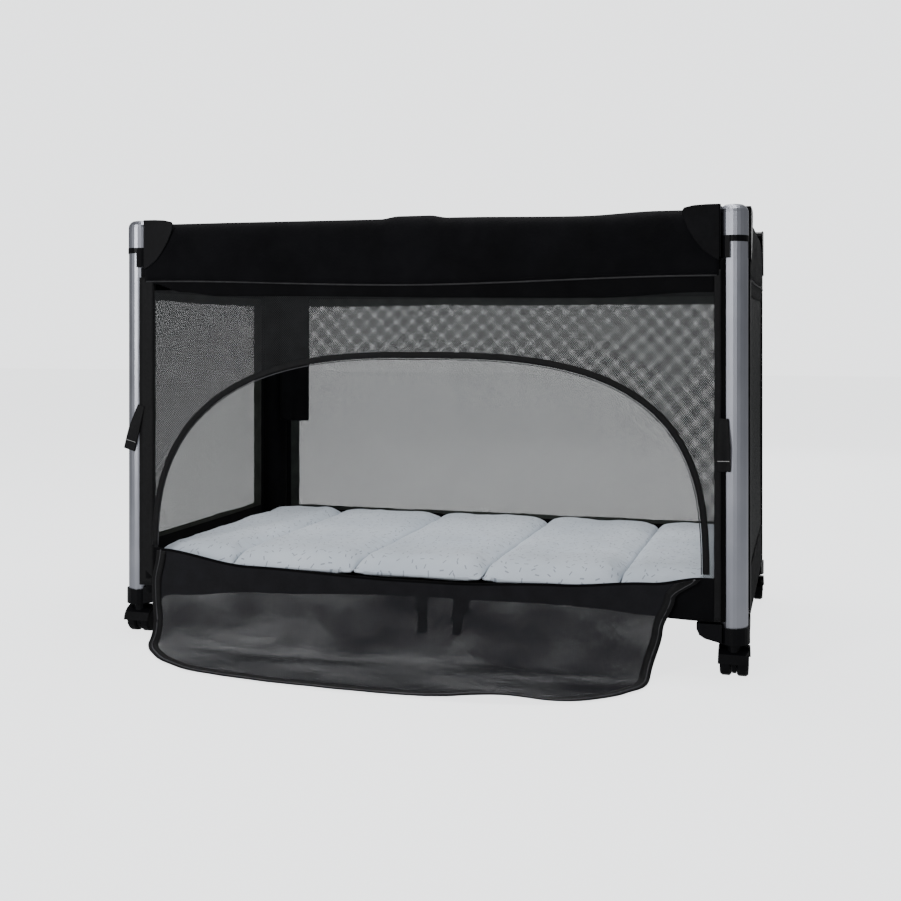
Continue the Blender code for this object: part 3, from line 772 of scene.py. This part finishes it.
def door_flap(side, cloth, tape, zip_material):
    """The doorway's net panel, unzipped and thrown forward, with its taped hem."""
    def at(u, v):
        across = math.sin((2 * u - 1) * math.pi / 2)
        s = math.sin(v * math.pi / 2)
        return flap_point(flap_reach(s, across) * across, s * FLAP_LENGTH)

    flap = surface("flap_net", 120, 70, at, cloth, 0.0)
    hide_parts("door_flap")
    side.hold(flap, "mesh_and_band")
    slices = [(i + 0.5) / 100 for i in range(100)]
    area = sum(flap_reach(s, 1) + flap_reach(s, -1) for s in slices) / len(slices) * FLAP_LENGTH
    edge = []
    steps = 170
    for i in range(steps + 1):
        turn = math.pi * i / steps
        s = math.sin(turn)
        sign = 1 if math.cos(turn) > 0 else -1
        edge.append((sign * flap_reach(s, sign), s * FLAP_LENGTH))

    def lift(a, b):
        point = flap_point(a, max(0.0, min(b, FLAP_LENGTH)))
        away = Vector((0.0, -0.0012, 0.0)) if b < 0.11 else Vector((0.0, 0.0, 0.0012))
        return point + away

    hem = side.hold(ribbon("flap_hem", edge, HEM, lift, tape, 0.0018), "webbing")
    away = Vector((0.0, -0.0008, 0.0018))
    path = [flap_point(a * 0.985, b * 0.985) + away for a, b in edge]
    side.hold(tube("flap_zip", path, 0.0016, zip_material, 6), "webbing")


# The mattress


def pillow(low, high, rows=26, columns=46):
    """A crowned closed pad in a box, with its sides drawn in between rounded corners."""
    bm = bmesh.new()
    middle = (low + high) / 2
    half = (high - low) / 2
    layers = []
    for side_sign in (1, -1):
        layer = []
        for i in range(rows + 1):
            a = math.sin((2 * i / rows - 1) * math.pi / 2)
            line = []
            for j in range(columns + 1):
                b = math.sin((2 * j / columns - 1) * math.pi / 2)
                crown = max(0.0, (1 - abs(a) ** 7) * (1 - abs(b) ** 16)) ** 0.36
                pull_x = 1 - 0.030 * max(0.0, b) ** 22  # only the rear corners are rounded
                pull_y = 1 - 0.020 * abs(a) ** 6
                lift = crown * half.z * (1.0 if side_sign > 0 else 0.92)
                line.append(bm.verts.new((
                    middle.x + a * half.x * pull_x,
                    middle.y + b * half.y * pull_y,
                    middle.z - 0.001 + side_sign * lift,
                )))
            layer.append(line)
        layers.append(layer)
    for layer in layers:
        for i in range(rows):
            for j in range(columns):
                bm.faces.new((layer[i][j], layer[i + 1][j], layer[i + 1][j + 1], layer[i][j + 1]))
    bmesh.ops.remove_doubles(bm, verts=bm.verts, dist=0.0002)
    return bm


def applied(piece):
    """The piece's mesh with its modifiers made permanent."""
    bpy.context.view_layer.update()
    graph = bpy.context.evaluated_depsgraph_get()
    mesh = bpy.data.meshes.new_from_object(piece.evaluated_get(graph))
    piece.modifiers.clear()
    piece.data = mesh


def puff(piece, cap):
    """Blows the pad up a little with a cloth simulation, and keeps each point within a cap."""
    remesh = piece.modifiers.new("remesh", "REMESH")
    remesh.mode = "VOXEL"
    remesh.voxel_size = 0.0058
    applied(piece)
    rest = [v.co.copy() for v in piece.data.vertices]
    cloth = piece.modifiers.new("cloth", "CLOTH")
    cloth.settings.quality = 5
    cloth.settings.mass = 0.3
    cloth.settings.tension_stiffness = 14.0
    cloth.settings.compression_stiffness = 14.0
    cloth.settings.bending_stiffness = 0.4
    cloth.settings.use_pressure = True
    cloth.settings.uniform_pressure_force = 4.0
    cloth.settings.effector_weights.gravity = 0.0
    cloth.point_cache.frame_start = 1
    cloth.point_cache.frame_end = 20
    scene = bpy.context.scene
    for step in range(1, 21):
        scene.frame_set(step)
    applied(piece)
    scene.frame_set(1)
    for vertex, start in zip(piece.data.vertices, rest):
        moved = vertex.co - start
        if moved.length > cap:
            vertex.co = start + moved * (cap / moved.length)


SLICE = 0.012  # width of the slices that a pad is measured in
PAD_PAST_SEAM = 0.0008
PAD_CORNER = 0.006  # how much narrower a pad is at its ends
PAD_WIDEST_FIT = 1.14
DROOP_DEPTH = 0.019
DROOP_LENGTH = 0.075
SEAM_WIDTH = 0.034
PUCKER_PITCH = 0.026


def slice_widths(piece, centre):
    """How far the pad reaches from its middle line, slice by slice from front to rear."""
    slices = {}
    for vertex in piece.data.vertices:
        key = round(vertex.co.y / SLICE)
        slices[key] = max(slices.get(key, 0.0), abs(vertex.co.x - centre))
    return tuple((key * SLICE, slices[key]) for key in sorted(slices))


def mattress(material):
    for i, (low, high) in enumerate(PANELS, 1):
        inset = Vector((0.0003, 0.003, 0.0005))
        bm = pillow(low + inset, high - inset)
        piece = finish_mesh(f"pad_{i}", bm, material)
        puff(piece, 0.006)
        floor = low.z + 0.0004
        centre = (low.x + high.x) / 2
        level = (low.z + high.z) / 2
        half = (high.x - low.x) / 2
        widest = slice_widths(piece, centre)
        for vertex in piece.data.vertices:
            co = vertex.co
            end = max(0.0, 1 - min(co.y - low.y, high.y - co.y) / SLICE)
            fit = (half + PAD_PAST_SEAM - PAD_CORNER * end ** 2) / between(co.y, widest)
            co.x = centre + (co.x - centre) * min(fit, PAD_WIDEST_FIT)
            droop = max(0.0, (low.y + DROOP_LENGTH - co.y) / DROOP_LENGTH)
            if co.z > level:
                co.z -= DROOP_DEPTH * droop ** 1.7
            upper = max(0.0, (co.z - level) / (high.z - low.z) * 2)
            co.z += upper * 0.0032 * ripple(co.x, co.y, 71.0 + i, 13.0, 9.0)
            seam = max(0.0, 1 - (half - abs(co.x - centre)) / SEAM_WIDTH)
            pucker = math.sin(co.y * 2 * math.pi / PUCKER_PITCH + 3.0 * noise.noise(co * 20.0))
            co.z -= upper * seam * 0.0016 * (1 + pucker)
            co.z = max(co.z, floor)
            co.x = min(max(co.x, low.x - 0.0009), high.x + 0.0009)
        piece.data.polygons.foreach_set("use_smooth", [True] * len(piece.data.polygons))
        smooth = piece.modifiers.new("rounding", "SUBSURF")
        smooth.levels = 1
        smooth.render_levels = 1
        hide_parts(f"mattress_panel_{i}")
        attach(piece, f"mattress_{i}")


# Loose cloth and straps


FLOOR_SPLIT = -0.03  # where the strip that follows the front posts meets the rear one
FLOOR_INSET = 0.0014


def clear_of_posts(x, y):
    """Moves a point of the floor cloth off the corner posts, on to an arc round the nearer one."""
    post = Vector((math.copysign(RIGHT_X, x), math.copysign(REAR_Y, y)))
    inward = Vector((-math.copysign(1.0, x), -math.copysign(1.0, y)))
    reach = POST_RADIUS + 0.0045
    away = Vector((x, y)) - post
    within = away.length < reach
    past_end = abs(x) > RIGHT_X - 0.001 and abs(y) > REAR_Y - reach
    past_side = abs(y) > REAR_Y - 0.001 and abs(x) > RIGHT_X - reach
    if not (within or past_end or past_side):
        return x, y
    away = Vector([max(0.0, a * i) for a, i in zip(away, inward)])
    if away.length < 1e-6:
        away = Vector((1.0, 1.0))
    away = away.normalized() * reach
    return post.x + away.x * inward.x, post.y + away.y * inward.y


def floor_cloth(material):
    """The cloth under the mattress, out to the walls, in two strips that fold with their own posts."""
    low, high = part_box("floor_cloth")
    level = (low.z + high.z) / 2
    half_x = SIDES["left"].out - FLOOR_INSET
    half_y = SIDES["front"].out - FLOOR_INSET
    for name, start, stop, body in (
        ("floor_cloth_front", -half_y, FLOOR_SPLIT, "front_left_post"),
        ("floor_cloth_rear", FLOOR_SPLIT, half_y, "rear_left_post"),
    ):
        def at(u, v, start=start, stop=stop):
            x, y = clear_of_posts((2 * u - 1) * half_x, start + (stop - start) * v)
            return Vector((x, y, level - 0.0012 * abs(ripple(x, y, 81.0, 5.0, 5.0))))

        made = surface(name, 130, 34, at, material, 0.0012)
        if body == "rear_left_post":
            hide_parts("floor_cloth")
        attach(made, body)
        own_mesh(made)


def corner_flap(material):
    """The loose strip of cloth that hangs beside the rear left post."""
    low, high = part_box("corner_flap")

    def at(u, v):
        x = low.x + (high.x - low.x) * u
        ragged = 0.004 * noise.noise(Vector((u * 5.0, 0.0, 90.0)))
        z = high.z + (low.z + ragged - high.z) * v
        bow = 0.003 * math.sin(u * math.pi * 2.0 + 0.6) * v
        return Vector((x, (low.y + high.y) / 2 - 0.003 - abs(bow), z))

    made = surface("loose_corner_flap", 16, 60, at, material, 0.0014)
    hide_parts("corner_flap")
    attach(made, "rear_left_post")
    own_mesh(made)


def strap(node, body, lean, tape, thread):
    """A short webbing tab with a row of stitches near its end."""
    low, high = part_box(node)
    width, length = 0.025, 0.095
    top = Vector(((low.x + high.x) / 2 + math.sin(lean) * length / 2, (low.y + high.y) / 2, high.z - 0.004))
    down = Vector((-math.sin(lean), 0.0, -math.cos(lean)))
    across = Vector((math.cos(lean), 0.0, -math.sin(lean)))

    def at(u, v, out=0.0):
        curl = 0.0025 * math.sin(math.pi * v) + 0.0012 * math.sin(math.pi * 2 * u) * v
        gathered = 0.62 + 0.38 * min(1.0, v / 0.55)
        place = top + down * (length * v) + across * (width * gathered * (u - 0.5))
        return place + Vector((0.0, -curl - out, 0.0))

    made = surface("tab_" + node, 10, 40, at, tape, 0.0018)
    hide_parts(node)
    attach(made, body)
    row = [at(0.08 + 0.84 * i / 20, 0.80, 0.0015) for i in range(21)]
    stitches = tube("stitches_" + node, row, 0.0005, thread, 6)
    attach(stitches, body)


# The CAD pieces that show as they are


def round_shading():
    """Node group that shades gentle edges smooth and keeps corners crisp."""
    group = bpy.data.node_groups.new("round_shading", "GeometryNodeTree")
    group.interface.new_socket("Geometry", in_out="INPUT", socket_type="NodeSocketGeometry")
    group.interface.new_socket("Geometry", in_out="OUTPUT", socket_type="NodeSocketGeometry")
    source = group.nodes.new("NodeGroupInput")
    target = group.nodes.new("NodeGroupOutput")
    clean = group.nodes.new("GeometryNodeRemoveAttribute")
    clean.inputs["Name"].default_value = "custom_normal"
    faces = group.nodes.new("GeometryNodeSetShadeSmooth")
    edges = group.nodes.new("GeometryNodeSetShadeSmooth")
    edges.domain = "EDGE"
    edges.inputs["Shade Smooth"].default_value = False
    angle = group.nodes.new("GeometryNodeInputMeshEdgeAngle")
    sharp = group.nodes.new("FunctionNodeCompare")
    sharp.operation = "GREATER_THAN"
    sharp.inputs[1].default_value = math.radians(32)
    group.links.new(source.outputs[0], clean.inputs["Geometry"])
    group.links.new(clean.outputs["Geometry"], faces.inputs["Geometry"])
    group.links.new(faces.outputs["Geometry"], edges.inputs["Geometry"])
    group.links.new(angle.outputs["Unsigned Angle"], sharp.inputs[0])
    group.links.new(sharp.outputs["Result"], edges.inputs["Selection"])
    group.links.new(edges.outputs["Geometry"], target.inputs[0])
    return group


def finishes(silver, steel, black, castor_black):
    """Gives the CAD nodes that stay visible their materials, small bevels and shading."""
    rounding = round_shading()
    for name, node in NODES.items():
        if name.startswith(("post_", "cap_")):
            chosen = silver
        elif name.startswith(("rail_", "base_tube_")):
            chosen = steel
        elif name.startswith("wheel_"):
            chosen = castor_black
        elif name.startswith(("housing_", "foot_", "castor_", "hub", "latch_")):
            chosen = black
        else:
            continue
        node.data.materials.clear()
        node.data.materials.append(chosen)
        if not name.startswith(("post_", "rail_", "base_tube_")):
            bevel = node.modifiers.new("edges", "BEVEL")
            bevel.width = 0.0008
            bevel.segments = 2
            bevel.limit_method = "ANGLE"
        node.modifiers.new("round", "NODES").node_group = rounding


camera()
studio()

silver = satin_aluminium()
steel = grey_steel()
black = moulded_plastic("black_plastic", (0.0014, 0.0014, 0.0022), 0.38, 0.30)
castor_black = moulded_plastic("castor_plastic", (0.0024, 0.0024, 0.0032), 0.32, 0.22)
band_cloth = woven("band_cloth", (0.0016, 0.0016, 0.0024), 0.0011, 0.02)
lower_cloth = woven("lower_cloth", (0.0016, 0.0016, 0.0022), 0.0012, 0.02)
floor_material = woven("floor_fabric", (0.003, 0.003, 0.004), 0.0014, 0.02)
tape = ribbed("binding_tape", (0.0008, 0.0008, 0.0014), 0.0014)
piping_cloth = ribbed("piping_cloth", (0.022, 0.022, 0.024), 0.0018, "along")
thread = ribbed("pale_thread", (0.42, 0.42, 0.42), 0.0022, "along")
zip_black = moulded_plastic("zip_coil", (0.050, 0.050, 0.054), 0.24, 0.2)
net_front = net("net_front_side", False, 0.35, (0.014, 0.015, 0.016), 0.0042)
net_rear = net("net_rear_side", False, 0.66, (0.034, 0.039, 0.035), 0.0026)
net_left = net("net_left_side", True, 0.70, (0.030, 0.033, 0.028), 0.0026)
net_right = net("net_right_side", True, 0.66, (0.014, 0.015, 0.015), 0.0030)
# The flap's dense threads, closer towards +X and in patches, darken it: partly gathered net lying in folds, partly
# painted shade of the cot's shadow on the floor beneath.
net_flap = net("net_flap", False, 0.87, (0.006, 0.006, 0.008), 0.0022, 0.035, 0.24)

finishes(silver, steel, black, castor_black)
for side in SIDES.values():
    band(side, band_cloth)
    piping(side, piping_cloth)
    strip(side, lower_cloth)
    if side.name == "front":
        front_net(side, net_front)
    else:
        plain_net(side, {"rear": net_rear, "left": net_left, "right": net_right}[side.name])
    lower_band(side, lower_cloth)

upright_bindings(SIDES["front"], tape, ((-0.593, -0.560), (0.5715, 0.584)))
upright_bindings(SIDES["rear"], tape, ((-0.578, -0.550), (0.550, 0.578)))
upright_bindings(SIDES["left"], tape, ((-0.2732, -0.235), (0.235, 0.2732)))
upright_bindings(SIDES["right"], tape, ((-0.2732, -0.235), (0.235, 0.2732)))
post_sleeves(lower_cloth)
wing_covers(black)
doorway_edges(SIDES["front"], tape, zip_black)
door_flap(SIDES["front"], net_flap, tape, zip_black)
mattress(quilted())
floor_cloth(floor_material)
corner_flap(floor_material)
strap("strap_left", "front_left_post", 0.30, tape, thread)
strap("strap_right", "front_right_post", 0.0, tape, thread)
